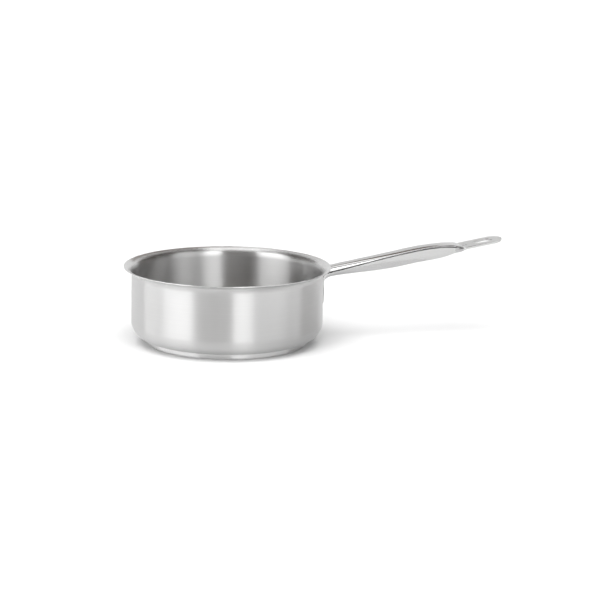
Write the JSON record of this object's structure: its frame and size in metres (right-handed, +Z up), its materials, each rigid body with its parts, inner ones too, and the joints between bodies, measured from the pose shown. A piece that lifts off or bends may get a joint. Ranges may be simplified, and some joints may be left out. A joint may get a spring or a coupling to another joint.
{
  "type": "saute pan",
  "caption": "Stainless steel saute pan with a straight wall, a flared pouring rim, a bonded sandwich base and a long hollow welded handle with a hanging slot.",
  "frame": {"origin": "middle of the base's underside, on the surface that the pan stands on and on the axis of the round body", "axes": "+Z up along the body's axis, +X from the axis out along the handle, +Y across the handle"},
  "size_m": [0.4897, 0.2594, 0.1208],
  "materials": {
    "body_steel": "satin, brushed round the pan",
    "base_steel": "polished band, turned underside",
    "core_aluminium": "rolled",
    "handle_steel": "satin, polished along its length",
    "weld_metal": "ground weld"
  },
  "bodies": {
    "root": {"pan_body": "body_steel", "base_core": "core_aluminium", "base_cap": "base_steel", "handle_upper_shell": "handle_steel", "handle_lower_shell": "handle_steel", "seam_weld_left": "weld_metal", "seam_weld_right": "weld_metal", "plate_weld_1": "weld_metal", "plate_weld_2": "weld_metal", "plate_weld_3": "weld_metal", "plate_weld_4": "weld_metal", "plate_weld_5": "weld_metal", "tongue_weld": "weld_metal"}
  },
  "joints": []
}
